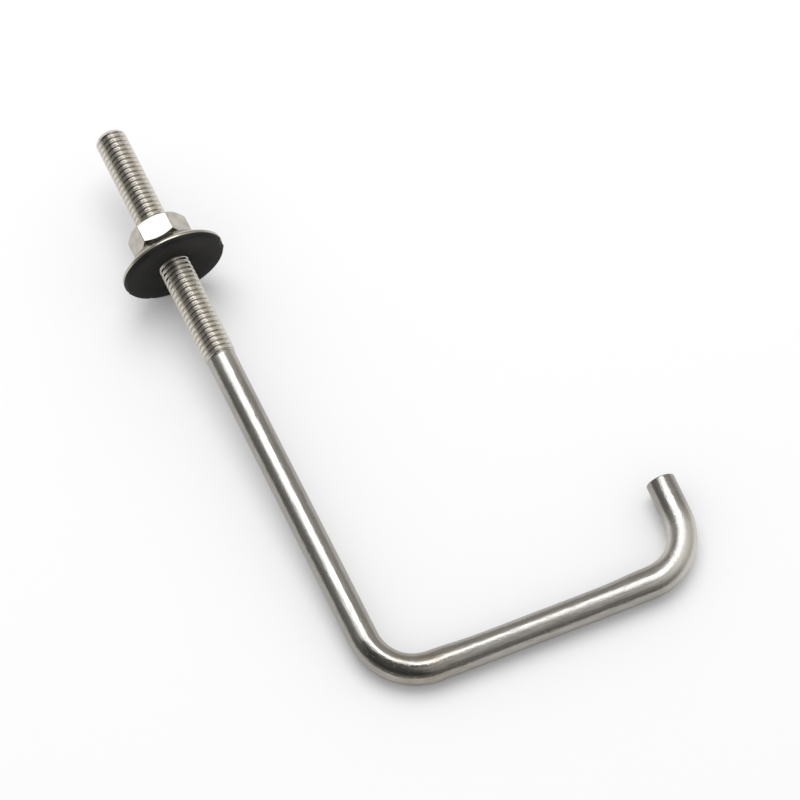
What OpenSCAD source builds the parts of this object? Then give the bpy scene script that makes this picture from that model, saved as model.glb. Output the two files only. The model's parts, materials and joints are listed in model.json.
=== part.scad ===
/* [Rod] */
// Diameter of the plain rod
rod_d = 5.35; // [4.6:0.05:5.6]
// Length of the long leg, from the cross leg's centre line to the threaded tip
shank_len = 118.9; // [100:0.5:160]
// Distance between the centre lines of the two upright legs
hook_w = 59.3; // [40:0.5:90]
// Length of the short leg, from the cross leg's centre line to its end
return_len = 17.2; // [14:0.2:40]
// Bevel on the end of the short leg
end_bevel = 0.4; // [0.2:0.05:0.8]

/* [Bends] */
// Centre-line radius of the bend between the long leg and the cross leg
first_bend_r = 9.8; // [7:0.1:13]
// Centre-line radius of the bend between the cross leg and the short leg
second_bend_r = 10; // [7:0.1:13]
// How much thinner the rod has become where it is bent
bend_thinning = 0.05; // [0.02:0.01:0.2]
// How far the long leg leans outward from square, in degrees
shank_open = 3; // [0:0.1:6]
// How far the short leg leans outward from square, in degrees
return_open = 0.6; // [0:0.1:6]

/* [Thread] */
// Major diameter of the thread
thread_d = 5.9; // [5.7:0.01:6]
// Length of the threaded stretch, from the tip
thread_len = 49.8; // [40:0.5:70]
// Length of the cone where the thread runs out into the plain rod
runout_len = 0.6; // [0.3:0.1:1.5]
// Diameter of the flat end of the threaded tip
tip_d = 4.5; // [3.5:0.1:5.2]
// Length of the bevel on the threaded tip
tip_bevel = 0.8; // [0.4:0.1:1.5]

/* [Nut] */
// Distance across the flats
nut_af = 10; // [9.5:0.05:11]
// Height of the nut
nut_h = 5; // [4:0.1:6.5]
// Distance from the threaded tip to the nut's outer face
nut_setback = 20.8; // [5:0.1:28]
// Diameter of the round face inside each bevel
nut_face_d = 9.2; // [8.8:0.05:9.4]
// Angle of the bevel that rounds the corners, in degrees
nut_bevel_deg = 35; // [20:1:40]
// Mouth diameter of the countersink at each end of the nut's hole
nut_mouth_d = 6.6; // [6.2:0.05:7.2]
// Turn of the flats about the leg, in degrees
nut_turn = 50; // [0:1:59]

/* [Washer] */
// Outer diameter of the steel washer
washer_d = 19.6; // [17:0.1:26]
// Thickness of the steel
washer_t = 0.6; // [0.4:0.05:0.8]
// Diameter of the hole in the steel
washer_hole_d = 6.6; // [6.3:0.05:7.5]
// Diameter of the flat seat that the nut bears on
land_d = 9.8; // [9.5:0.1:12]
// Radius of the round between the flat seat and the cone
dome_r = 3; // [1.5:0.1:4]
// Slope of the cone below the seat, in degrees
dome_deg = 37.5; // [20:0.5:42]

/* [Seal] */
// Outer diameter of the rubber at its lower face
seal_d = 18.8; // [16:0.1:20]
// How far the rubber's top edge stays inside the steel rim
seal_inset = 0.2; // [0.1:0.05:0.6]
// Height of the rubber that stands below the steel rim
seal_lip = 0.65; // [0.4:0.05:2]
// Width of the flat ring that presses on the sheet
seal_ring_w = 2; // [1:0.1:3]
// Depth of the hollow inside that ring
seal_hollow = 0.6; // [0.1:0.05:1]

/* [Fits] */
// Radial clearance between the nut's hole and the thread
nut_clear = 0.05; // [0.02:0.01:0.1]
// Radial clearance between the rubber and the thread
seal_clear = 0.05; // [0.02:0.01:0.1]
// Gap between the nut and the washer's seat
seat_gap = 0.02; // [0:0.01:0.1]

/* [Hidden] */
$fn = 96;
// Steps of a curved outline, a small overlap past a cut face, and how far a leg runs into its bend
curve_steps = 6;
past = 1;
lap = 0.05;

rod_r = rod_d / 2;
thread_r = thread_d / 2;
tip_r = tip_d / 2;

// Each bend is tangent to both of its legs
first_tangent = first_bend_r / tan((90 + shank_open) / 2);
second_tangent = second_bend_r / tan((90 + return_open) / 2);

// Places along the long leg, from the cross leg's centre line
thread_start = shank_len - thread_len;
nut_base = shank_len - nut_setback - nut_h;
washer_top = nut_base - seat_gap;

// Outline of the washer below its seat, as radius and height from the seat
washer_r = washer_d / 2;
land_r = land_d / 2;
function dome_point(r, a) = [land_r + r * sin(a), r * cos(a) - dome_r];
function dome_arc(r) = [for (i = [0 : curve_steps]) dome_point(r, dome_deg * i / curve_steps)];
function cone_height(r, at) = dome_point(r, dome_deg)[1] - (at - dome_point(r, dome_deg)[0]) * tan(dome_deg);
under_r = dome_r - washer_t;
rim_top = cone_height(dome_r, washer_r);
rim_under = cone_height(under_r, washer_r);
seal_top_r = washer_r - seal_inset;
seal_face = rim_under - seal_lip;

// The part lies on the cross leg and the washer's rim, so the long leg rises a little
rim_place = washer_top + rim_under;
rise = acos(rod_r / norm([washer_r, rim_place])) - atan2(rim_place, washer_r);
tilt = asin(sin(rise) / cos(shank_open));

// Extents at rest, from the corner where the long leg's and cross leg's centre lines meet
leg_x = -sin(shank_open);
leg_y = cos(shank_open) * cos(tilt);
function across(r, slope) = r * sqrt(1 - slope * slope);
low_x = min((washer_top + rim_top) * leg_x - across(washer_r, leg_x),
            (shank_len - tip_bevel) * leg_x - across(thread_r, leg_x));
high_x = hook_w + max((return_len - end_bevel) * sin(return_open) + rod_r * cos(return_open),
                      return_len * sin(return_open) + (rod_r - end_bevel) * cos(return_open));
high_y = max(shank_len * leg_y + across(tip_r, leg_y),
             (shank_len - tip_bevel) * leg_y + across(thread_r, leg_y));
mid_x = (low_x + high_x) / 2;
mid_y = (high_y - rod_r) / 2;

// Lays the flat-built part on the ground, with the origin under its middle
module at_rest() {
    translate([-mid_x, -mid_y, rod_r]) rotate([tilt, 0, 0]) children();
}

// Stands its children on the long leg: their Z runs from the cross leg to the tip
module on_shank() {
    at_rest() rotate([0, 0, shank_open]) rotate([-90, 0, 0]) children();
}

module bend(radius, angle) {
    rotate_extrude(angle = angle) translate([radius, 0]) circle(d = rod_d - bend_thinning);
}

// Long leg: plain rod, run-out, thread at its major diameter and bevelled tip
module threaded_leg() {
    rotate_extrude() polygon([
        [0, first_tangent - lap],
        [rod_r, first_tangent - lap],
        [rod_r, thread_start - runout_len],
        [thread_r, thread_start],
        [thread_r, shank_len - tip_bevel],
        [tip_r, shank_len],
        [0, shank_len]
    ]);
}

module short_leg() {
    rotate_extrude() polygon([
        [0, second_tangent - lap],
        [rod_r, second_tangent - lap],
        [rod_r, return_len - end_bevel],
        [rod_r - end_bevel, return_len],
        [0, return_len]
    ]);
}

module cross_leg() {
    translate([first_tangent - lap, 0, 0]) rotate([0, 90, 0])
        cylinder(h = hook_w - first_tangent - second_tangent + 2 * lap, r = rod_r);
}

module hook_rod() {
    color("silver") at_rest() union() {
        rotate([0, 0, shank_open]) rotate([-90, 0, 0]) threaded_leg();
        translate([first_tangent, first_bend_r, 0]) rotate([0, 0, 180 + shank_open])
            bend(first_bend_r, 90 - shank_open);
        cross_leg();
        translate([hook_w - second_tangent, second_bend_r, 0]) rotate([0, 0, 270])
            bend(second_bend_r, 90 - return_open);
        translate([hook_w, 0, 0]) rotate([0, 0, -return_open]) rotate([-90, 0, 0]) short_leg();
    }
}

// Turned ring whose bevelled ends trim the corners of the hexagon, with its countersunk hole
module nut_blank() {
    face_r = nut_face_d / 2;
    corner_r = nut_af / 2 / cos(30) + past;
    fall = (corner_r - face_r) * tan(nut_bevel_deg);
    hole_r = thread_r + nut_clear;
    mouth_r = nut_mouth_d / 2;
    depth = mouth_r - hole_r;
    rotate_extrude() polygon([
        [mouth_r, 0],
        [face_r, 0],
        [corner_r, fall],
        [corner_r, nut_h - fall],
        [face_r, nut_h],
        [mouth_r, nut_h],
        [hole_r, nut_h - depth],
        [hole_r, depth]
    ]);
}

module hex_nut() {
    color("gainsboro") on_shank() translate([0, 0, nut_base]) rotate([0, 0, nut_turn]) intersection() {
        cylinder(h = nut_h, r = nut_af / 2 / cos(30), $fn = 6);
        nut_blank();
    }
}

module washer_plate() {
    hole_r = washer_hole_d / 2;
    color("lightgray") on_shank() translate([0, 0, washer_top]) rotate_extrude() polygon(concat(
        [[hole_r, 0]],
        dome_arc(dome_r),
        [[washer_r, rim_top], [washer_r, rim_under]],
        [for (i = [curve_steps : -1 : 0]) dome_arc(under_r)[i]],
        [[hole_r, -washer_t]]
    ));
}

module rubber_seal() {
    hole_r = thread_r + seal_clear;
    face_r = seal_d / 2;
    color([0.14, 0.14, 0.14]) on_shank() translate([0, 0, washer_top]) rotate_extrude() polygon(concat(
        [[hole_r, -washer_t]],
        dome_arc(under_r),
        [[seal_top_r, cone_height(under_r, seal_top_r)]],
        [[face_r, seal_face]],
        [[face_r - seal_ring_w, seal_face]],
        [[hole_r, seal_face + seal_hollow]]
    ));
}

hook_rod();
hex_nut();
washer_plate();
rubber_seal();
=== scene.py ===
"""Hook bolt: a bent stainless rod with a rolled thread, a hexagon nut and a rubber-faced sealing washer."""
import json
from math import atan2, cos, exp, hypot, pi, radians, sin, tan

import bmesh
import bpy
from bpy.props import (
    FloatProperty,
    FloatVectorProperty,
    IntProperty,
    PointerProperty,
    StringProperty,
)
from mathutils import Matrix, Vector


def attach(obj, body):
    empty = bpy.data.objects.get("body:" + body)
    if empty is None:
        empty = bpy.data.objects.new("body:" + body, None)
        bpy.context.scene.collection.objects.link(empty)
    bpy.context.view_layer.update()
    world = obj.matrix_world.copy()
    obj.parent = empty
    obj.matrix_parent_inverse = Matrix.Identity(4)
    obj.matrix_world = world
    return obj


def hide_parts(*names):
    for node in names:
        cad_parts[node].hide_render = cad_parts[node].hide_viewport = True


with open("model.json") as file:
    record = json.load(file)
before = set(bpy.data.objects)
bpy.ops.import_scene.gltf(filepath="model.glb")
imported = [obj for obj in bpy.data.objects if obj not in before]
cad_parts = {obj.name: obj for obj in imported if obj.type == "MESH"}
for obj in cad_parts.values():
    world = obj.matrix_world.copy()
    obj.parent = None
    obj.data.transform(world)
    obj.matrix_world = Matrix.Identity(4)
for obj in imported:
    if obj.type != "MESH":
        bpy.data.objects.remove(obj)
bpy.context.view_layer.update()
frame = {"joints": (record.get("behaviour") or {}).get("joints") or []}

bl_info = {
    "name": "Hook Bolt",
    "version": (1, 0, 0),
    "blender": (4, 5, 0),
    "location": "View3D > Sidebar > Hook Bolt",
    "description": "Dresses a square-bent hook bolt with its nut and sealing washer",
    "category": "Add Mesh",
}

MM = 0.001
X, Y, Z = Vector((1, 0, 0)), Vector((0, 1, 0)), Vector((0, 0, 1))

# Mesh tolerances: vertices closer than the first are joined, and a cut takes what lies this near its plane
WELD = 0.002 * MM
CUT = 0.0001 * MM
# Round on small edges that have no size of their own
SMALL_ROUND = 0.12 * MM

# The nut's joint gives the long leg's direction, and a point where the nut sits on it
NUT_JOINT = next(joint for joint in frame["joints"] if joint["name"] == "nut_turn")
LEG = Vector(NUT_JOINT["axis"]).normalized()


def size(name, text, millimetres):
    """A length setting, given in millimetres and kept in metres."""
    return FloatProperty(name=name, description=text, default=millimetres * MM, unit="LENGTH", precision=5)


def angle(name, text, degrees):
    return FloatProperty(name=name, description=text, default=radians(degrees), subtype="ANGLE")


def share(name, text, value):
    return FloatProperty(name=name, description=text, default=value, min=0.0, max=1.0, subtype="FACTOR")


def paint(name, text, value):
    """A colour setting, kept as an sRGB hex value."""
    return StringProperty(name=name, description=text, default=value)


class RodSizes(bpy.types.PropertyGroup):
    """Sizes of the bent rod and its rolled thread."""

    rod_d: size("Rod diameter", "Diameter of the plain rod", 5.35)
    shank_len: size("Long leg", "From the cross leg's centre line to the threaded tip", 118.9)
    hook_w: size("Hook width", "Between the centre lines of the two upright legs", 59.3)
    return_len: size("Short leg", "From the cross leg's centre line to its end", 17.2)
    end_bevel: size("End bevel", "Bevel on the end of the short leg", 0.4)
    first_bend_r: size("First bend", "Centre-line radius of the bend at the long leg", 9.8)
    second_bend_r: size("Second bend", "Centre-line radius of the bend at the short leg", 10)
    shank_open: angle("Long leg's lean", "How far the long leg leans outward from square", 3)
    return_open: angle("Short leg's lean", "How far the short leg leans outward from square", 0.6)
    thread_d: size("Thread diameter", "Major diameter of the thread", 5.9)
    root_d: size("Root diameter", "Diameter at the bottom of the thread", 4.77)
    pitch: size("Pitch", "Distance from one thread crest to the next", 1)
    thread_len: size("Thread length", "Length of the threaded stretch, from the tip", 49.8)
    runout_len: size("Run-out", "Length over which the thread fades into the rod", 1.1)
    tip_d: size("Tip diameter", "Diameter of the flat end of the threaded tip", 4.5)
    tip_bevel: size("Tip bevel", "Length of the bevel on the threaded tip", 0.8)
    swell: size("Swelling", "How far squeezed steel stands out on the inside of each bend", 0.42)
    sides: IntProperty(name="Sides", description="Steps round the rod", default=72, min=24)


class NutSizes(bpy.types.PropertyGroup):
    """Sizes of the hexagon nut."""

    across_flats: size("Across flats", "Distance across the flats", 10)
    height: size("Height", "Height of the nut", 5)
    setback: size("Setback", "From the threaded tip to the nut's outer face", 20.8)
    face_d: size("Face diameter", "Diameter of the round face inside each bevel", 9.2)
    bevel_angle: angle("Bevel angle", "Angle of the bevel that rounds the corners", 35)
    mouth_d: size("Countersink", "Mouth diameter of the countersink at each end", 6.6)
    turn: angle("Turn", "Turn of the flats about the leg", 50)
    thread_gap: size("Thread gap", "Radial gap between the nut's thread and the rod's", 0.06)
    minor_r: size("Minor radius", "Radius at the crests of the nut's own thread", 2.5)
    edge: size("Edge", "Width of the polished edges", 0.08)


class WasherSizes(bpy.types.PropertyGroup):
    """Sizes of the dished washer and its rubber."""

    seat_gap: size("Seat gap", "Gap between the nut and the washer's seat", 0.02)
    outer_d: size("Washer diameter", "Outer diameter of the steel washer", 19.6)
    thickness: size("Steel thickness", "Thickness of the steel", 0.6)
    hole_d: size("Steel hole", "Diameter of the hole in the steel", 6.6)
    land_d: size("Seat diameter", "Diameter of the flat seat that the nut bears on", 9.8)
    dome_r: size("Dome round", "Radius of the round between the seat and the cone", 3)
    dome_angle: angle("Cone slope", "Slope of the cone below the seat", 37.5)
    rim_round: size("Rim round", "Round on the edges of the steel rim", 0.14)
    rim_lap: size("Rubber lap", "How far the rubber laps up over the steel's lower edge", 0.26)
    seal_d: size("Rubber diameter", "Outer diameter of the rubber's lower face", 18.8)
    seal_lip: size("Rubber lip", "Height of the rubber that stands below the steel rim", 0.65)
    seal_ring_w: size("Ring width", "Width of the flat ring that presses on the sheet", 2)
    seal_hollow: size("Hollow", "Depth of the hollow inside that ring", 0.6)
    seal_clear: size("Rubber clearance", "Radial clearance between the rubber and the thread", 0.05)


class Finishes(bpy.types.PropertyGroup):
    """Colours and roughness of the finishes."""

    rod_light: paint("Rod", "Drawn stainless steel", "#BCBAB6")
    rod_dark: paint("Rod marks", "Drawing lines and bending marks", "#86827C")
    # Lighter steel where the tools rubbed; at the second bend it is also a painted highlight
    rod_rubbed_and_highlight: paint("Rubbed steel", "Where the bending tool and the thread's rollers rubbed", "#E3E1DC")
    rod_stain: paint("Oil stain", "Thin brown film of oil at the first bend", "#A3957C")
    thread_crest: paint("Thread crests", "Burnished stainless steel", "#ECE9E3")
    # Darker thread roots: painted shade in the recesses, together with drawing grease
    thread_root_grease_and_shade: paint("Thread roots", "Stainless steel darkened by drawing grease", "#D5D0C8")
    nut_steel: paint("Nut", "Polished stainless steel", "#D3D0C9")
    nut_haze: paint("Nut haze", "Rubbed spots on the nut", "#A5A299")
    washer_steel: paint("Washer", "Pressed stainless sheet", "#C6C4B9")
    # Painted shade: darkens the washer round the nut, where the gap between the nut and the washer falls dark
    washer_painted_shade: paint("Washer under the nut", "The same sheet, dulled by grease round the nut", "#645F56")
    rubber: paint("Rubber", "Moulded black rubber", "#141414")
    rubber_bloom: paint("Rubber bloom", "Dusty, slightly worn rubber", "#2C2C2A")
    rod_rough: share("Rod roughness", "How far the drawn surface blurs what it mirrors", 0.1)
    thread_rough: share("Thread roughness", "How far the rolled thread blurs what it mirrors", 0.1)
    nut_rough: share("Nut roughness", "How far the polished surface blurs what it mirrors", 0.13)
    washer_rough: share("Washer roughness", "How far the pressed sheet blurs what it mirrors", 0.2)
    rubber_rough: share("Rubber roughness", "How dull the rubber is", 0.62)


class StageSettings(bpy.types.PropertyGroup):
    """Camera, floor and light."""

    camera_place: FloatVectorProperty(
        name="Camera", description="Camera's place from the hook's first corner", size=3,
        default=(-83.98 * MM, -205.4 * MM, 492.38 * MM), subtype="TRANSLATION", unit="LENGTH")
    camera_aim: FloatVectorProperty(
        name="Aim", description="Point that the camera looks at, from the hook's first corner", size=3,
        default=(23.72 * MM, 50.64 * MM, 3.08 * MM), subtype="TRANSLATION", unit="LENGTH")
    lens: FloatProperty(name="Lens", description="Focal length in millimetres", default=140.93)
    floor_colour: paint("Floor", "Plain matt white table", "#F4F4F5")
    floor_mirrored: paint("Floor in the steel", "The same table where it lies in the room's shade", "#DDDBD8")
    room_dim: paint("Dim walls", "Walls to the left and behind the camera", "#7C7A76")
    room_light: paint("Light walls", "Walls to the right and beyond the table", "#AEABA5")
    curtain: paint("Curtain", "Dark curtain beyond the table", "#2E2C29")
    ceiling_glow: share("Ceiling glow", "Light that the ceiling adds to the walls' own", 0.33)
    panel_light: FloatProperty(
        name="Panel", description="Brightness of the ceiling panel in the steel", default=3.1)
    fill_light: share("Fill", "Brightness of the even light on the table", 0.76)
    box_power: FloatProperty(
        name="Soft box", description="Power of the overhead soft box, in watts", default=2.8)


# Places: the hook's own plane, and the long leg with its Z from the cross leg to the tip

def settings():
    return bpy.context.scene.hook_bolt


def nut_base():
    """Height of the nut's inner face on the long leg."""
    sizes = settings()
    return sizes.rod.shank_len - sizes.nut.setback - sizes.nut.height


def corner():
    """Where the centre lines of the long leg and the cross leg meet."""
    return Vector(NUT_JOINT["pos_m"]) - LEG * nut_base()


def plane_frame():
    """The hook's plane: X along the cross leg, Y towards the tip, Z out of the plane."""
    up = (LEG - LEG.dot(X) * X).normalized()
    return Matrix.Translation(corner()) @ Matrix((X, up, X.cross(up))).transposed().to_4x4()


def leg_in_plane():
    return Matrix.Rotation(settings().rod.shank_open, 4, "Z") @ Matrix.Rotation(-pi / 2, 4, "X")


def leg_frame():
    return plane_frame() @ leg_in_plane()


# Meshes

def placed(name, mesh, material):
    """Turns a finished bmesh into an object in the scene."""
    data = bpy.data.meshes.new(name)
    mesh.to_mesh(data)
    mesh.free()
    data.materials.append(material)
    made = bpy.data.objects.new(name, data)
    bpy.context.scene.collection.objects.link(made)
    return made


def make_piece(name, mesh, body, nodes, material):
    """Makes a piece that stands for its CAD nodes and rides on their body."""
    piece = placed(name, mesh, material)
    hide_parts(*nodes)
    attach(piece, body)


def line_of(mesh, points, closed=False):
    """A wire through points given as radius and height, in the XZ plane."""
    verts = [mesh.verts.new((radius, 0, height)) for radius, height in points]
    pairs = list(zip(verts, verts[1:]))
    if closed:
        pairs.append((verts[-1], verts[0]))
    return verts + [mesh.edges.new(pair) for pair in pairs]


def edges_in(geometry):
    return [item for item in geometry if isinstance(item, bmesh.types.BMEdge)]


def verts_in(geometry):
    return [item for item in geometry if isinstance(item, bmesh.types.BMVert)]


def everything(mesh):
    return mesh.verts[:] + mesh.edges[:] + mesh.faces[:]


def revolve(points, steps):
    """A closed outline turned once about Z."""
    mesh = bmesh.new()
    wire = line_of(mesh, points, closed=True)
    bmesh.ops.spin(mesh, geom=wire, cent=(0, 0, 0), axis=Z, dvec=(0, 0, 0), angle=2 * pi, steps=steps,
                   use_merge=True)
    bmesh.ops.recalc_face_normals(mesh, faces=mesh.faces)
    return mesh


def soften(mesh, edges, width, segments=3):
    bmesh.ops.bevel(mesh, geom=edges, offset=width, offset_type="OFFSET", segments=segments, profile=0.5,
                    affect="EDGES", clamp_overlap=True, material=-1)


def shade(mesh, sharp):
    """Smooth faces, with edges sharper than the given angle kept crisp."""
    for face in mesh.faces:
        face.smooth = True
    for edge in mesh.edges:
        edge.smooth = edge.calc_face_angle(pi) < sharp


def smooth_step(low, high, at):
    """Rises softly from 0 to 1 between two places."""
    passed = min(max((at - low) / (high - low), 0), 1)
    return passed * passed * (3 - 2 * passed)


# Rod: thread, long leg, bend, cross leg, bend and short leg in one skin

# A rolled thread's outline over one pitch, as shares of the pitch and of the depth, with the
# shallow seam that rolling leaves along the crest
ROLLED_THREAD = (
    (0, 0), (0.06, 0.03), (0.12, 0.17), (0.18, 0.50), (0.23, 0.82), (0.27, 0.95), (0.32, 1),
    (0.41, 1), (0.455, 0.94), (0.50, 0.84), (0.545, 0.94), (0.59, 1), (0.68, 1), (0.73, 0.95),
    (0.77, 0.82), (0.82, 0.50), (0.88, 0.17), (0.94, 0.03), (1, 0),
)
# Turns modelled below the thread, which fade into the plain rod, and above the tip, which are cut off
TURNS_BELOW, TURNS_ABOVE = 3, 2
# Steps along each bend and along the cross leg
BEND_STEPS, CROSS_STEPS = 48, 32
# Distance along the rod, from where a bend meets the cross leg, in which the swelling falls to about a third
SWELL_REACH = 5 * MM


def thread_radius(turns):
    """Radius of the rod's thread at a place counted in pitches from a root."""
    rod = settings().rod
    at = turns % 1
    for (low, low_depth), (high, high_depth) in zip(ROLLED_THREAD, ROLLED_THREAD[1:]):
        if at <= high:
            depth = low_depth + (high_depth - low_depth) * (at - low) / (high - low)
            return rod.root_d / 2 + depth * (rod.thread_d - rod.root_d) / 2
    return rod.root_d / 2


def thread_foot():
    """Height on the long leg where the first turn of the modelled thread starts."""
    rod = settings().rod
    return rod.shank_len - rod.thread_len - TURNS_BELOW * rod.pitch


def rolled_thread():
    """The threaded stretch, open at its lower end, with its Z along the leg."""
    rod = settings().rod
    mesh = bmesh.new()
    foot = thread_foot()
    points = [(thread_radius(turn), foot + turn * rod.pitch) for turn, _ in ROLLED_THREAD[:-1]]
    points.append((rod.root_d / 2, foot + rod.pitch))
    wire = line_of(mesh, points)
    bmesh.ops.spin(mesh, geom=wire, cent=(0, 0, 0), axis=Z, dvec=(0, 0, rod.pitch / rod.sides), angle=2 * pi,
                   steps=rod.sides)
    first = everything(mesh)
    for turn in range(1, int(rod.thread_len / rod.pitch) + TURNS_BELOW + TURNS_ABOVE):
        copy = bmesh.ops.duplicate(mesh, geom=first)["geom"]
        bmesh.ops.translate(mesh, verts=verts_in(copy), vec=(0, 0, turn * rod.pitch))
    bmesh.ops.remove_doubles(mesh, verts=mesh.verts, dist=WELD)
    start = rod.shank_len - rod.thread_len
    bevel_slope = (rod.thread_d - rod.tip_d) / 2 / rod.tip_bevel
    for vert in mesh.verts:
        radius = hypot(vert.co.x, vert.co.y)
        height = vert.co.z
        shown = smooth_step(start - 0.7 * rod.runout_len, start + 0.3 * rod.runout_len, height)
        wanted = rod.rod_d / 2 + (radius - rod.rod_d / 2) * shown
        wanted = min(wanted, rod.tip_d / 2 + max(rod.shank_len - height, 0) * bevel_slope)
        vert.co.x *= wanted / radius
        vert.co.y *= wanted / radius
    tip = bmesh.ops.bisect_plane(mesh, geom=everything(mesh), dist=CUT, plane_co=(0, 0, rod.shank_len),
                                 plane_no=Z, clear_outer=True)
    face = bmesh.ops.edgeloop_fill(mesh, edges=edges_in(tip["geom_cut"]))["faces"]
    bmesh.ops.recalc_face_normals(mesh, faces=mesh.faces)
    soften(mesh, list({edge for item in face for edge in item.edges}), SMALL_ROUND, 2)
    low = bmesh.ops.bisect_plane(mesh, geom=everything(mesh), dist=CUT,
                                 plane_co=(0, 0, start - rod.runout_len), plane_no=Z, clear_inner=True)
    return mesh, edges_in(low["geom_cut"])


def extend(mesh, edges, step):
    """Draws an open end out in a straight line and gives its new end."""
    made = bmesh.ops.extrude_edge_only(mesh, edges=edges)["geom"]
    bmesh.ops.translate(mesh, verts=verts_in(made), vec=step)
    return edges_in(made)


def wrap(mesh, edges, centre, turn, steps):
    """Bends an open end round a centre in the hook's plane and gives its new end."""
    made = bmesh.ops.spin(mesh, geom=edges, cent=centre, axis=Z, dvec=(0, 0, 0), angle=turn, steps=steps)
    return edges_in(made["geom_last"])


def bends():
    """Tangent lengths and centres of the two bends, in the hook's plane."""
    rod = settings().rod
    first = rod.first_bend_r / tan((pi / 2 + rod.shank_open) / 2)
    second = rod.second_bend_r / tan((pi / 2 + rod.return_open) / 2)
    return (first, Vector((first, rod.first_bend_r, 0))), (
        second, Vector((rod.hook_w - second, rod.second_bend_r, 0)))


def straightened(point):
    """Where a point of the bent rod lay before bending: inward, sideways, and along the rod."""
    rod = settings().rod
    (first, centre_1), (second, centre_2) = bends()
    leg = Vector((-sin(rod.shank_open), cos(rod.shank_open), 0))
    inward = Vector((cos(rod.shank_open), sin(rod.shank_open), 0))
    if point.dot(leg) >= first and point.x < centre_1.x:
        return Vector((point.dot(inward), point.z, point.dot(leg)))
    if point.x < centre_1.x:
        turned = (atan2(point.y - centre_1.y, point.x - centre_1.x) - pi - rod.shank_open) % (2 * pi)
        radius = hypot(point.x - centre_1.x, point.y - centre_1.y)
        return Vector((rod.first_bend_r - radius, point.z, first - rod.first_bend_r * turned))
    along = first - rod.first_bend_r * (pi / 2 - rod.shank_open)
    if point.x < centre_2.x:
        return Vector((point.y, point.z, along - (point.x - centre_1.x)))
    along -= centre_2.x - centre_1.x
    short = Vector((sin(rod.return_open), cos(rod.return_open), 0))
    outward = Vector((cos(rod.return_open), -sin(rod.return_open), 0))
    from_corner = point - Vector((rod.hook_w, 0, 0))
    if from_corner.dot(short) < second:
        turned = (atan2(point.y - centre_2.y, point.x - centre_2.x) + pi / 2) % (2 * pi)
        radius = hypot(point.x - centre_2.x, point.y - centre_2.y)
        return Vector((rod.second_bend_r - radius, point.z, along - rod.second_bend_r * turned))
    along -= rod.second_bend_r * (pi / 2 - rod.return_open)
    return Vector((-from_corner.dot(outward), point.z, along - from_corner.dot(short) + second))


def swelling(along):
    """How far the squeezed steel stands out on the inside of a bend, at a place along the straight rod."""
    ends = [straightened(Vector((centre.x, 0, 0))).z for _, centre in bends()]
    return settings().rod.swell * max(exp(-((along - end) / SWELL_REACH) ** 2) for end in ends)


def bent_rod():
    rod = settings().rod
    mesh, end = rolled_thread()
    (first, centre_1), (second, centre_2) = bends()
    plain = rod.shank_len - rod.thread_len - rod.runout_len
    end = extend(mesh, end, (0, 0, first - plain))
    bmesh.ops.transform(mesh, matrix=leg_in_plane(), verts=mesh.verts)
    end = wrap(mesh, end, centre_1, pi / 2 - rod.shank_open, BEND_STEPS)
    for _ in range(CROSS_STEPS):
        end = extend(mesh, end, X * (centre_2.x - centre_1.x) / CROSS_STEPS)
    end = wrap(mesh, end, centre_2, pi / 2 - rod.return_open, BEND_STEPS)
    short = Vector((sin(rod.return_open), cos(rod.return_open), 0))
    end = extend(mesh, end, short * (rod.return_len - second))
    face = bmesh.ops.edgeloop_fill(mesh, edges=end)["faces"]
    bmesh.ops.recalc_face_normals(mesh, faces=mesh.faces)
    soften(mesh, list({edge for item in face for edge in item.edges}), rod.end_bevel, 4)
    straight = mesh.verts.layers.float_vector.new("straight")
    for vert in mesh.verts:
        place = straightened(vert.co)
        vert[straight] = place / MM
        if place.x > 0:
            centre = centre_1 if vert.co.x < centre_1.x else centre_2
            inward = (centre - vert.co) * Vector((1, 1, 0))
            if centre_1.x <= vert.co.x <= centre_2.x:
                inward = Y
            vert.co += inward.normalized() * swelling(place.z) * place.x * 2 / rod.rod_d
    shade(mesh, radians(48))
    bmesh.ops.transform(mesh, matrix=plane_frame(), verts=mesh.verts)
    return mesh


# Nut

# How far the round blank reaches past the hexagon's corners before the flats are cut
BLANK_SPARE = 1 * MM
# Rows of vertices up the nut's hole, which take the form of its thread, and steps round it
HOLE_ROWS, NUT_STEPS = 96, 180


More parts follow.
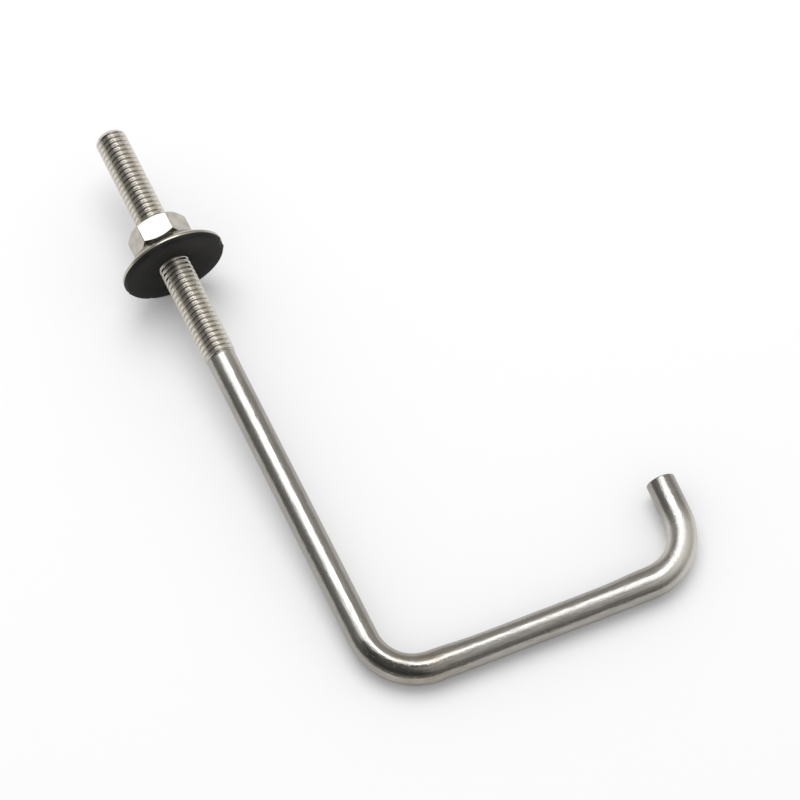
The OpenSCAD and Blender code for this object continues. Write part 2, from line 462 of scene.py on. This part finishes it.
def hexagon_nut():
    nut, rod = settings().nut, settings().rod
    face_r, mouth_r = nut.face_d / 2, nut.mouth_d / 2
    corner_r = nut.across_flats / 2 / cos(pi / 6) + BLANK_SPARE
    fall = (corner_r - face_r) * tan(nut.bevel_angle)
    outline = [(mouth_r, 0), (face_r, 0), (corner_r, fall), (corner_r, nut.height - fall),
               (face_r, nut.height)]
    outline += [(mouth_r, nut.height * (1 - row / HOLE_ROWS)) for row in range(HOLE_ROWS)]
    mesh = revolve(outline, NUT_STEPS)
    for side in range(6):
        away = Matrix.Rotation(pi / 6 + side * pi / 3, 3, "Z") @ X
        cut = bmesh.ops.bisect_plane(mesh, geom=everything(mesh), dist=CUT,
                                     plane_co=away * nut.across_flats / 2, plane_no=away, clear_outer=True)
        bmesh.ops.edgeloop_fill(mesh, edges=edges_in(cut["geom_cut"]))
    bmesh.ops.recalc_face_normals(mesh, faces=mesh.faces)
    past_hole = mouth_r + 0.01 * MM
    outer = [edge for edge in mesh.edges
             if edge.calc_face_angle(0) > radians(20)
             and min(hypot(vert.co.x, vert.co.y) for vert in edge.verts) > past_hole]
    soften(mesh, outer, nut.edge, 2)
    base = nut_base()
    for vert in mesh.verts:
        radius = hypot(vert.co.x, vert.co.y)
        if radius > past_hole:
            continue
        round_leg = atan2(vert.co.y, vert.co.x) + nut.turn
        turns = (base + vert.co.z - thread_foot()) / rod.pitch - round_leg / (2 * pi)
        threaded = max(thread_radius(turns) + nut.thread_gap, nut.minor_r)
        countersunk = mouth_r - min(vert.co.z, nut.height - vert.co.z)
        wanted = max(threaded, countersunk)
        vert.co.x *= wanted / radius
        vert.co.y *= wanted / radius
    shade(mesh, radians(40))
    # The flats are single faces with many sides, and stay flat
    for face in mesh.faces:
        face.smooth = len(face.verts) < 8
    bmesh.ops.transform(mesh, matrix=leg_frame() @ Matrix.Translation((0, 0, base))
                        @ Matrix.Rotation(nut.turn, 4, "Z"), verts=mesh.verts)
    return mesh


# Washer and seal, with heights counted from the washer's seat

# Steps along the round between the seat and the cone
DOME_STEPS = 12
# Height of the rubber's upright rim below the bare steel, and width of the slope inside its flat ring
RIM_HEIGHT, RING_SLOPE = 0.3 * MM, 0.8 * MM


def dome_arc(radius, steps):
    """The round between the flat seat and the cone."""
    washer = settings().washer
    land_r = washer.land_d / 2
    return [(land_r + radius * sin(washer.dome_angle * step / steps),
             radius * cos(washer.dome_angle * step / steps) - washer.dome_r) for step in range(steps + 1)]


def cone_height(radius, at):
    start_r, start_z = dome_arc(radius, 1)[-1]
    return start_z - (at - start_r) * tan(settings().washer.dome_angle)


def lap_height():
    """Height on the rim where the rubber ends and the bare steel shows."""
    washer = settings().washer
    return cone_height(washer.dome_r - washer.thickness, washer.outer_d / 2) + washer.rim_lap


def washer_outline():
    washer = settings().washer
    hole_r, outer_r = washer.hole_d / 2, washer.outer_d / 2
    under = washer.dome_r - washer.thickness
    return ([(hole_r, 0)] + dome_arc(washer.dome_r, DOME_STEPS)
            + [(outer_r, cone_height(washer.dome_r, outer_r)), (outer_r, lap_height()),
               (outer_r - washer.rim_lap, cone_height(under, outer_r - washer.rim_lap))]
            + dome_arc(under, DOME_STEPS)[::-1] + [(hole_r, -washer.thickness)])


def seal_outline():
    washer, rod = settings().washer, settings().rod
    hole_r, face_r, rim_r = rod.thread_d / 2 + washer.seal_clear, washer.seal_d / 2, washer.outer_d / 2
    under = washer.dome_r - washer.thickness
    face = cone_height(under, rim_r) - washer.seal_lip
    ring_r = face_r - washer.seal_ring_w
    return ([(hole_r, -washer.thickness)] + dome_arc(under, DOME_STEPS)
            + [(rim_r - washer.rim_lap, cone_height(under, rim_r - washer.rim_lap)), (rim_r, lap_height()),
               (rim_r, lap_height() - RIM_HEIGHT), (face_r, face), (ring_r, face),
               (ring_r - RING_SLOPE, face + 0.35 * washer.seal_hollow), (hole_r, face + washer.seal_hollow)])


def washer_frame():
    return leg_frame() @ Matrix.Translation((0, 0, nut_base() - settings().washer.seat_gap))


def dished_washer():
    washer = settings().washer
    mesh = revolve(washer_outline(), 160)
    sharp = [edge for edge in mesh.edges if edge.calc_face_angle(0) > radians(30)]
    soften(mesh, sharp, washer.rim_round)
    from_leg = mesh.verts.layers.float.new("radius")
    for vert in mesh.verts:
        vert[from_leg] = hypot(vert.co.x, vert.co.y) / MM
    shade(mesh, radians(50))
    bmesh.ops.transform(mesh, matrix=washer_frame(), verts=mesh.verts)
    return mesh


# Nicks in the rubber's rim, and the burrs beside them, whose depth is below 0: place round the leg in
# degrees, width in degrees, and depth in millimetres
NICKS = (
    (349.5, 6.5, 0.34), (340, 1.2, -0.1), (359.5, 1.2, -0.1),
    (161, 2, 0.32), (157, 1.2, -0.06), (123, 3, 0.15),
)
# How far inward a nick reaches from the edge of the rubber's lower face
NICK_REACH = 0.8 * MM


def rubber_seal():
    washer = settings().washer
    mesh = revolve(seal_outline(), 240)
    sharp = [edge for edge in mesh.edges if edge.calc_face_angle(0) > radians(16)]
    soften(mesh, sharp, SMALL_ROUND)
    rim = washer.seal_d / 2
    below_lap = lap_height() - 0.02 * MM
    for vert in mesh.verts:
        radius = hypot(vert.co.x, vert.co.y)
        if radius < rim - NICK_REACH or vert.co.z > below_lap:
            continue
        degrees = atan2(vert.co.y, vert.co.x) / radians(1)
        cut = 0
        for place, width, depth in NICKS:
            off = (degrees - place + 180) % 360 - 180
            cut += depth * MM * exp(-(off / width) ** 2)
        moved = radius - cut * smooth_step(rim - NICK_REACH, rim, radius)
        vert.co.x *= moved / radius
        vert.co.y *= moved / radius
    shade(mesh, radians(60))
    bmesh.ops.transform(mesh, matrix=washer_frame(), verts=mesh.verts)
    return mesh


# Materials

def linear(code):
    """Turns an sRGB hex value into the linear colour that the nodes take."""
    parts = [int(code[start:start + 2], 16) / 255 for start in (1, 3, 5)]
    return [part / 12.92 if part <= 0.04045 else ((part + 0.055) / 1.055) ** 2.4 for part in parts] + [1]


# Sockets of a colour mix: how much of the second colour, the two colours, and the result
SHARE, FIRST, SECOND, MIXED = 0, 6, 7, 2


def add(tree, kind, inputs=(), output=0, **attributes):
    """Adds a node with its settings, sets or links its inputs by name or in order, and gives one output."""
    made = tree.nodes.new(kind)
    for key, value in attributes.items():
        setattr(made, key, value)
    for key, value in inputs.items() if isinstance(inputs, dict) else enumerate(inputs):
        if isinstance(value, bpy.types.NodeSocket):
            tree.links.new(value, made.inputs[key])
        else:
            made.inputs[key].default_value = value
    return made.outputs[output] if made.outputs else None


def new_material(name):
    material = bpy.data.materials.new(name)
    material.use_nodes = True
    material.node_tree.nodes.clear()
    return material, material.node_tree


def drawn_steel():
    """Bright drawn stainless bar: the die leaves fine lines along it, so a highlight runs as a soft streak.
    Rolling burnishes the thread, which mirrors more sharply, and the bender leaves marks across a bend."""
    finish, rod = settings().finishes, settings().rod
    material, tree = new_material("bright drawn stainless steel")
    # Where the steel lay on the straight bar, in millimetres: inward, sideways, and along it to the tip
    place = add(tree, "ShaderNodeAttribute", output="Vector", attribute_name="straight")
    along = add(tree, "ShaderNodeSeparateXYZ", (place,), output="Z")
    start = (rod.shank_len - rod.thread_len) / MM
    thread = add(tree, "ShaderNodeMapRange", (along, start - 0.6, start + 0.4))
    plain = add(tree, "ShaderNodeMapRange", (along, start - 0.6, start + 0.4, 1, 0))

    # Drawing lines are about 0.05 mm wide, drawn six times as wide to show, and a few millimetres long
    spot = add(tree, "ShaderNodeMapping", {"Vector": place, "Scale": (3, 3, 0.3)})
    lines = add(tree, "ShaderNodeTexNoise", {"Vector": spot, "Scale": 1, "Detail": 2, "Roughness": 0.6})
    # The bar's own grain, about 0.1 mm across and 0.6 mm long, breaks up the edges of the streak
    spot = add(tree, "ShaderNodeMapping", {"Vector": place, "Scale": (8, 8, 1.6)})
    grain = add(tree, "ShaderNodeTexNoise", {"Vector": spot, "Scale": 1, "Detail": 1, "Roughness": 0.6})
    # Handling leaves patches about 2 mm wide that are a little duller
    patches = add(tree, "ShaderNodeTexNoise", {"Vector": place, "Scale": 0.5, "Detail": 2})
    # Scratches lie slantwise, about 0.15 mm wide and 2 mm long
    spot = add(tree, "ShaderNodeMapping", {"Vector": place, "Rotation": (0.5, 0.3, 0)})
    spot = add(tree, "ShaderNodeMapping", {"Vector": spot, "Scale": (6, 6, 0.5)})
    scratches = add(tree, "ShaderNodeTexNoise", {"Vector": spot, "Scale": 1, "Detail": 2})
    scratches = add(tree, "ShaderNodeMapRange", (scratches, 0.70, 0.76))
    # The bending tool's marks run round the rod, about 0.2 mm wide and 2 mm long
    spot = add(tree, "ShaderNodeMapping", {"Vector": place, "Scale": (0.5, 0.5, 5)})
    crosswise = add(tree, "ShaderNodeTexNoise", {"Vector": spot, "Scale": 1, "Detail": 2})

    # The bending tool rubs the second bend bright, and the rollers rub the bar below the thread; at the
    # second bend the lighter steel is also a painted highlight that widens the streak there
    (_, centre_1), (_, centre_2) = bends()
    rubbed_and_highlight_at = straightened(centre_2 + Vector((0.85, -0.53, 0)) * rod.second_bend_r).z / MM
    before = add(tree, "ShaderNodeMapRange", (along, rubbed_and_highlight_at - 7, rubbed_and_highlight_at - 3))
    after = add(tree, "ShaderNodeMapRange", (along, rubbed_and_highlight_at + 3, rubbed_and_highlight_at + 9, 1, 0))
    by_tool_and_highlight = add(tree, "ShaderNodeMath", (before, after), operation="MINIMUM")
    by_rollers = add(tree, "ShaderNodeMapRange", (along, start - 9, start - 1, 0, 0.35))
    by_rollers = add(tree, "ShaderNodeMath", (by_rollers, plain), operation="MULTIPLY")
    rubbed = add(tree, "ShaderNodeMath", (by_tool_and_highlight, by_rollers), operation="MAXIMUM")
    # A brown film of oil lies in patches round the first bend
    stain_at = straightened(centre_1 + Vector((-0.26, -0.97, 0)) * rod.first_bend_r).z / MM
    away = add(tree, "ShaderNodeMath", (along, stain_at), operation="SUBTRACT")
    away = add(tree, "ShaderNodeMath", (away,), operation="ABSOLUTE")
    near = add(tree, "ShaderNodeMapRange", (away, 2, 9, 0.4, 0))
    patchy = add(tree, "ShaderNodeMapRange", (patches, 0.35, 0.65))
    stained = add(tree, "ShaderNodeMath", (near, patchy), operation="MULTIPLY")

    marks = add(tree, "ShaderNodeMapRange", (lines, 0.3, 0.72, 0, 0.5))
    marks = add(tree, "ShaderNodeMath", (marks, plain), operation="MULTIPLY")
    colour = linear(finish.rod_light)
    tints = ((marks, finish.rod_dark), (rubbed, finish.rod_rubbed_and_highlight), (stained, finish.rod_stain))
    for part, tint in tints:
        colour = add(tree, "ShaderNodeMix", {SHARE: part, FIRST: colour, SECOND: linear(tint)},
                     output=MIXED, data_type="RGBA")
    # Painted shade in the thread's roots, where the flanks shade each other, together with grease that stays
    # there; the crests are bare
    across = add(tree, "ShaderNodeVectorMath", (place, (1, 1, 0)), operation="MULTIPLY")
    radius = add(tree, "ShaderNodeVectorMath", (across,), output="Value", operation="LENGTH")
    crest = add(tree, "ShaderNodeMapRange", (radius, rod.root_d / 2 / MM + 0.15, rod.thread_d / 2 / MM - 0.1))
    rolled = add(tree, "ShaderNodeMix", {
        SHARE: crest, FIRST: linear(finish.thread_root_grease_and_shade), SECOND: linear(finish.thread_crest)},
        output=MIXED, data_type="RGBA")
    colour = add(tree, "ShaderNodeMix", {SHARE: thread, FIRST: colour, SECOND: rolled},
                 output=MIXED, data_type="RGBA")

    even = finish.rod_rough
    lined = add(tree, "ShaderNodeMapRange", (lines, 0.3, 0.7, even - 0.05, even + 0.06))
    dulled = add(tree, "ShaderNodeMapRange", (patches, 0.4, 0.7, 0, 0.04))
    rough = add(tree, "ShaderNodeMath", (lined, dulled), operation="ADD")
    dulled = add(tree, "ShaderNodeMath", (rubbed, 0.2), operation="MULTIPLY")
    rough = add(tree, "ShaderNodeMath", (rough, dulled), operation="ADD")
    rough = add(tree, "ShaderNodeMath", (rough, plain), operation="MULTIPLY")
    rolled = add(tree, "ShaderNodeMath", (thread, finish.thread_rough), operation="MULTIPLY")
    rough = add(tree, "ShaderNodeMath", (rough, rolled), operation="ADD")

    # Rolling irons out most of the lines and grain, and all of the scratches
    height = add(tree, "ShaderNodeMath", (lines, grain), operation="ADD")
    left = add(tree, "ShaderNodeMapRange", (thread, 0, 1, 0.35, 0.15))
    height = add(tree, "ShaderNodeMath", (height, left), operation="MULTIPLY")
    crosswise = add(tree, "ShaderNodeMath", (crosswise, by_tool_and_highlight), operation="MULTIPLY")
    height = add(tree, "ShaderNodeMath", (height, crosswise), operation="ADD")
    left = add(tree, "ShaderNodeMapRange", (thread, 0, 1, 0.3, 0))
    scratches = add(tree, "ShaderNodeMath", (scratches, left), operation="MULTIPLY")
    height = add(tree, "ShaderNodeMath", (height, scratches), operation="SUBTRACT")
    bump = add(tree, "ShaderNodeBump", {"Height": height, "Strength": 1.0, "Distance": 0.05 * MM})
    shader = add(tree, "ShaderNodeBsdfPrincipled", {
        "Base Color": colour, "Metallic": 1.0, "Roughness": rough, "Normal": bump})
    add(tree, "ShaderNodeOutputMaterial", {"Surface": shader})
    return material


def polished_steel(name, bright, dull, share_of_dull_and_shade, roughness):
    """Cold-formed stainless steel, barrelled bright: nearly a mirror, with a faint haze and rubbed spots."""
    material, tree = new_material(name)
    place = add(tree, "ShaderNodeTexCoord", output="Object")
    # Haze from barrelling is mottled over about 2 mm, and rubbed spots are about 0.3 mm
    haze = add(tree, "ShaderNodeTexNoise", {"Vector": place, "Scale": 500, "Detail": 3})
    spots = add(tree, "ShaderNodeTexNoise", {"Vector": place, "Scale": 3300, "Detail": 2})
    hazy = add(tree, "ShaderNodeMapRange", (haze, 0.35, 0.7, roughness - 0.03, roughness + 0.05))
    rubbed = add(tree, "ShaderNodeMapRange", (spots, 0.62, 0.7, 0, 0.08))
    rough = add(tree, "ShaderNodeMath", (hazy, rubbed), operation="ADD")
    # The dull colour is the nut's haze, and on the washer the painted shade round the nut
    colour = add(tree, "ShaderNodeMix", {
        SHARE: share_of_dull_and_shade(tree, haze), FIRST: linear(bright), SECOND: linear(dull)},
        output=MIXED, data_type="RGBA")
    bump = add(tree, "ShaderNodeBump", {"Height": haze, "Strength": 0.2, "Distance": 0.03 * MM})
    shader = add(tree, "ShaderNodeBsdfPrincipled", {
        "Base Color": colour, "Metallic": 1.0, "Roughness": rough, "Normal": bump})
    add(tree, "ShaderNodeOutputMaterial", {"Surface": shader})
    return material


def mottled(tree, haze):
    """The nut's dull share: its haze alone."""
    return add(tree, "ShaderNodeMapRange", (haze, 0.4, 0.75, 0, 0.6))


def painted_shade_by_the_nut(tree, haze):
    """The washer's share of painted shade: full beside the nut, where the gap between the nut and the washer
    falls dark, and none from 9.6 mm out, on the bare rim.
    """
    radius = add(tree, "ShaderNodeAttribute", output="Fac", attribute_name="radius")
    ragged = add(tree, "ShaderNodeMath", (radius, haze), operation="ADD")
    return add(tree, "ShaderNodeMapRange", (ragged, 8.6, 9.6, 1, 0))


def moulded_rubber():
    """Black synthetic rubber from a matt mould: even and dull, with a faint dusty bloom and fine grain."""
    finish = settings().finishes
    material, tree = new_material("moulded black rubber")
    place = add(tree, "ShaderNodeTexCoord", output="Object")
    # Mould grain is about 0.1 mm, and the bloom drifts over about 4 mm
    grain = add(tree, "ShaderNodeTexNoise", {"Vector": place, "Scale": 9000, "Detail": 2})
    bloom = add(tree, "ShaderNodeTexNoise", {"Vector": place, "Scale": 260, "Detail": 4, "Roughness": 0.6})
    dusty = add(tree, "ShaderNodeMapRange", (bloom, 0.45, 0.75, 0, 0.7))
    colour = add(tree, "ShaderNodeMix", {
        SHARE: dusty, FIRST: linear(finish.rubber), SECOND: linear(finish.rubber_bloom)},
        output=MIXED, data_type="RGBA")
    rough = add(tree, "ShaderNodeMapRange", (bloom, 0.4, 0.7, finish.rubber_rough, finish.rubber_rough + 0.1))
    bump = add(tree, "ShaderNodeBump", {"Height": grain, "Strength": 0.25, "Distance": 0.02 * MM})
    shader = add(tree, "ShaderNodeBsdfPrincipled", {
        "Base Color": colour, "Roughness": rough, "IOR": 1.52, "Specular IOR Level": 0.35, "Normal": bump})
    add(tree, "ShaderNodeOutputMaterial", {"Surface": shader})
    return material


# Stage, in metres from the middle of the table

TABLE_REACH = 3
ROOM_RADIUS = 2
PANEL_SIZE, PANEL_PLACE = (0.94, 0.73, 1), (-0.13, 0.245, 0.8)
CURTAIN_SIZE, CURTAIN_PLACE = (0.76, 0.9, 1), (-0.36, 1.12, 0.75)
BOX_SIZE, BOX_DISTANCE, BOX_DIRECTION = 0.7, 0.8, (0.05, 0.34, 0.94)


def white_table():
    stage = settings().stage
    material, tree = new_material("matt white table")
    seen = add(tree, "ShaderNodeLightPath", output="Is Camera Ray")
    colour = add(tree, "ShaderNodeMix", {
        SHARE: seen, FIRST: linear(stage.floor_mirrored), SECOND: linear(stage.floor_colour)},
        output=MIXED, data_type="RGBA")
    shader = add(tree, "ShaderNodeBsdfDiffuse", {"Color": colour})
    add(tree, "ShaderNodeOutputMaterial", {"Surface": shader})
    mesh = bmesh.new()
    bmesh.ops.create_grid(mesh, x_segments=2, y_segments=2, size=TABLE_REACH)
    placed("table", mesh, material)


def mirrored_only(name, mesh, material):
    """Makes a stage piece for the steel to mirror, which neither shows nor lights the table."""
    piece = placed(name, mesh, material)
    piece.visible_camera = False
    piece.visible_diffuse = False
    piece.visible_transmission = False
    piece.visible_shadow = False
    material.cycles.emission_sampling = "NONE"


def level_sheet(size, place):
    """A level rectangle of a given size round a place."""
    mesh = bmesh.new()
    bmesh.ops.create_grid(mesh, x_segments=1, y_segments=1, size=0.5)
    bmesh.ops.scale(mesh, vec=size, verts=mesh.verts)
    bmesh.ops.translate(mesh, vec=place, verts=mesh.verts)
    return mesh


def dim_room():
    """Walls and ceiling round the table: dim on the left and behind the camera, and lighter at the top."""
    stage = settings().stage
    material, tree = new_material("dim room walls")
    place = add(tree, "ShaderNodeTexCoord", output="Object")
    axes = add(tree, "ShaderNodeSeparateXYZ", (place,)).node.outputs
    beyond = add(tree, "ShaderNodeMath", (axes["Y"], 0.8), operation="MULTIPLY")
    across = add(tree, "ShaderNodeMath", (axes["X"], beyond), operation="ADD")
    lighter = add(tree, "ShaderNodeMapRange", (across, -0.8, 2.2))
    walls = add(tree, "ShaderNodeMix", {
        SHARE: lighter, FIRST: linear(stage.room_dim), SECOND: linear(stage.room_light)},
        output=MIXED, data_type="RGBA")
    glow = add(tree, "ShaderNodeMapRange", (axes["Z"], 1.0, 2.0, 0, stage.ceiling_glow))
    lit = add(tree, "ShaderNodeVectorMath", (walls, glow), operation="ADD")
    # Higher up, the side behind the camera is dark on the left and bright on the right
    near = add(tree, "ShaderNodeMapRange", (axes["X"], -0.3, 0.7, 0.25, 1.7))
    near = add(tree, "ShaderNodeMapRange", (axes["Y"], -0.3, 0.35, near, 1))
    near = add(tree, "ShaderNodeMapRange", (axes["Z"], 0.4, 1.0, 1.1, near))
    lit = add(tree, "ShaderNodeVectorMath", {"Vector": lit, "Scale": near}, operation="SCALE")
    shader = add(tree, "ShaderNodeEmission", {"Color": lit, "Strength": 1.0})
    add(tree, "ShaderNodeOutputMaterial", {"Surface": shader})
    mesh = bmesh.new()
    bmesh.ops.create_icosphere(mesh, subdivisions=5, radius=ROOM_RADIUS)
    bmesh.ops.reverse_faces(mesh, faces=mesh.faces)
    mirrored_only("room", mesh, material)


def ceiling_panel():
    """Bright panel that makes the steel's streak: soft on the left and the far side, sharp on the right,
    and weaker near the camera, most of all on the left."""
    material, tree = new_material("ceiling panel")
    place = add(tree, "ShaderNodeTexCoord", output="Object")
    axes = add(tree, "ShaderNodeSeparateXYZ", (place,)).node.outputs
    left = add(tree, "ShaderNodeMapRange", (axes["X"], -0.48, -0.16, 0.12, 1))
    least = add(tree, "ShaderNodeMapRange", (axes["X"], 0.115, 0.185, 0.05, 0.6))
    near = add(tree, "ShaderNodeMapRange", (axes["Y"], 0.09, 0.15, least, 1))
    far = add(tree, "ShaderNodeMapRange", (axes["Y"], 0.26, 0.52, 1, 0.25))
    light = settings().stage.panel_light
    for fading in (left, near, far):
        light = add(tree, "ShaderNodeMath", (light, fading), operation="MULTIPLY")
    shader = add(tree, "ShaderNodeEmission", {"Strength": light})
    add(tree, "ShaderNodeOutputMaterial", {"Surface": shader})
    mirrored_only("ceiling panel", level_sheet(PANEL_SIZE, PANEL_PLACE), material)


def dark_curtain():
    """Dark curtain beyond the panel on the left, which the gap between the nut and the washer mirrors."""
    material, tree = new_material("dark curtain")
    shader = add(tree, "ShaderNodeEmission", {"Color": linear(settings().stage.curtain)})
    add(tree, "ShaderNodeOutputMaterial", {"Surface": shader})
    mirrored_only("dark curtain", level_sheet(CURTAIN_SIZE, CURTAIN_PLACE), material)


def soft_box():
    """Lights the table and the rubber, and casts the soft shadow."""
    light = bpy.data.lights.new("soft box", "AREA")
    light.shape = "DISK"
    light.size = BOX_SIZE
    light.energy = settings().stage.box_power
    lamp = bpy.data.objects.new("soft box", light)
    bpy.context.scene.collection.objects.link(lamp)
    toward = Vector(BOX_DIRECTION).normalized()
    lamp.location = toward * BOX_DISTANCE
    lamp.rotation_euler = toward.to_track_quat("Z", "Y").to_euler()
    lamp.visible_camera = False
    lamp.visible_glossy = False


def white_background():
    """White where the camera sees it, also in a mirror or through glass, and the fill light for the rest."""
    world = bpy.data.worlds.new("white background")
    bpy.context.scene.world = world
    world.use_nodes = True
    tree = world.node_tree
    tree.nodes.clear()
    fill = settings().stage.fill_light
    rays = add(tree, "ShaderNodeLightPath").node.outputs
    seen = add(tree, "ShaderNodeMath", (rays["Is Camera Ray"], rays["Is Glossy Ray"]), operation="MAXIMUM")
    seen = add(tree, "ShaderNodeMath", (seen, rays["Is Transmission Ray"]), operation="MAXIMUM")
    colour = add(tree, "ShaderNodeMix", {SHARE: seen, FIRST: (fill, fill, fill, 1), SECOND: (1, 1, 1, 1)},
                 output=MIXED, data_type="RGBA")
    sky = add(tree, "ShaderNodeBackground", {"Color": colour, "Strength": 1.0})
    add(tree, "ShaderNodeOutputWorld", {"Surface": sky})


def camera():
    stage = settings().stage
    foot = Vector((corner().x, corner().y, 0))
    data = bpy.data.cameras.new("camera")
    data.sensor_width = 36
    data.lens = stage.lens
    data.clip_start = 0.01
    made = bpy.data.objects.new("camera", data)
    bpy.context.scene.collection.objects.link(made)
    made.location = foot + Vector(stage.camera_place)
    aim = foot + Vector(stage.camera_aim) - made.location
    made.rotation_mode = "QUATERNION"
    made.rotation_quaternion = aim.to_track_quat("-Z", "Y")
    bpy.context.scene.camera = made


class HookBolt(bpy.types.PropertyGroup):
    """All settings of the hook bolt."""

    rod: PointerProperty(type=RodSizes)
    nut: PointerProperty(type=NutSizes)
    washer: PointerProperty(type=WasherSizes)
    finishes: PointerProperty(type=Finishes)
    stage: PointerProperty(type=StageSettings)


class HOOKBOLT_OT_stage(bpy.types.Operator):
    """Set up the camera, the table, the room, the lights and the background"""

    bl_idname = "hookbolt.stage"
    bl_label = "Stage"

    def execute(self, context):
        camera()
        white_table()
        dim_room()
        ceiling_panel()
        dark_curtain()
        soft_box()
        white_background()
        context.scene.view_settings.view_transform = "Standard"
        return {"FINISHED"}


class HOOKBOLT_OT_rod(bpy.types.Operator):
    """Make the bent rod with its rolled thread"""

    bl_idname = "hookbolt.rod"
    bl_label = "Bent rod"

    def execute(self, context):
        make_piece("threaded_hook_rod", bent_rod(), "hook", ["hook_rod"], drawn_steel())
        return {"FINISHED"}


class HOOKBOLT_OT_nut(bpy.types.Operator):
    """Make the hexagon nut with its own thread"""

    bl_idname = "hookbolt.nut"
    bl_label = "Hexagon nut"

    def execute(self, context):
        finish = settings().finishes
        steel = polished_steel("polished stainless nut", finish.nut_steel, finish.nut_haze,
                               mottled, finish.nut_rough)
        make_piece("bevelled_hex_nut", hexagon_nut(), "nut", ["hex_nut"], steel)
        return {"FINISHED"}


class HOOKBOLT_OT_washer(bpy.types.Operator):
    """Make the dished steel washer and the rubber under it"""

    bl_idname = "hookbolt.washer"
    bl_label = "Sealing washer"

    def execute(self, context):
        finish = settings().finishes
        steel = polished_steel("pressed stainless sheet", finish.washer_steel, finish.washer_painted_shade,
                               painted_shade_by_the_nut, finish.washer_rough)
        make_piece("dished_washer", dished_washer(), "washer", ["washer_plate"], steel)
        make_piece("rubber_facing", rubber_seal(), "washer", ["rubber_seal"], moulded_rubber())
        return {"FINISHED"}


class HOOKBOLT_PT_panel(bpy.types.Panel):
    """Settings and steps of the hook bolt"""

    bl_label = "Hook Bolt"
    bl_idname = "HOOKBOLT_PT_panel"
    bl_space_type = "VIEW_3D"
    bl_region_type = "UI"
    bl_category = "Hook Bolt"

    def draw(self, context):
        layout = self.layout
        for step in OPERATORS:
            layout.operator(step.bl_idname)
        bolt = context.scene.hook_bolt
        for group in (bolt.rod, bolt.nut, bolt.washer, bolt.finishes, bolt.stage):
            column = layout.box().column()
            for name in group.__annotations__:
                column.prop(group, name)


GROUPS = (RodSizes, NutSizes, WasherSizes, Finishes, StageSettings, HookBolt)
OPERATORS = (HOOKBOLT_OT_stage, HOOKBOLT_OT_rod, HOOKBOLT_OT_nut, HOOKBOLT_OT_washer)


def register():
    for item in GROUPS + OPERATORS + (HOOKBOLT_PT_panel,):
        bpy.utils.register_class(item)
    bpy.types.Scene.hook_bolt = PointerProperty(type=HookBolt)


def unregister():
    del bpy.types.Scene.hook_bolt
    for item in reversed(GROUPS + OPERATORS + (HOOKBOLT_PT_panel,)):
        bpy.utils.unregister_class(item)


def main():
    register()
    bpy.ops.hookbolt.stage()
    bpy.ops.hookbolt.rod()
    bpy.ops.hookbolt.nut()
    bpy.ops.hookbolt.washer()
    bpy.context.view_layer.update()


if __name__ == "__main__":
    main()
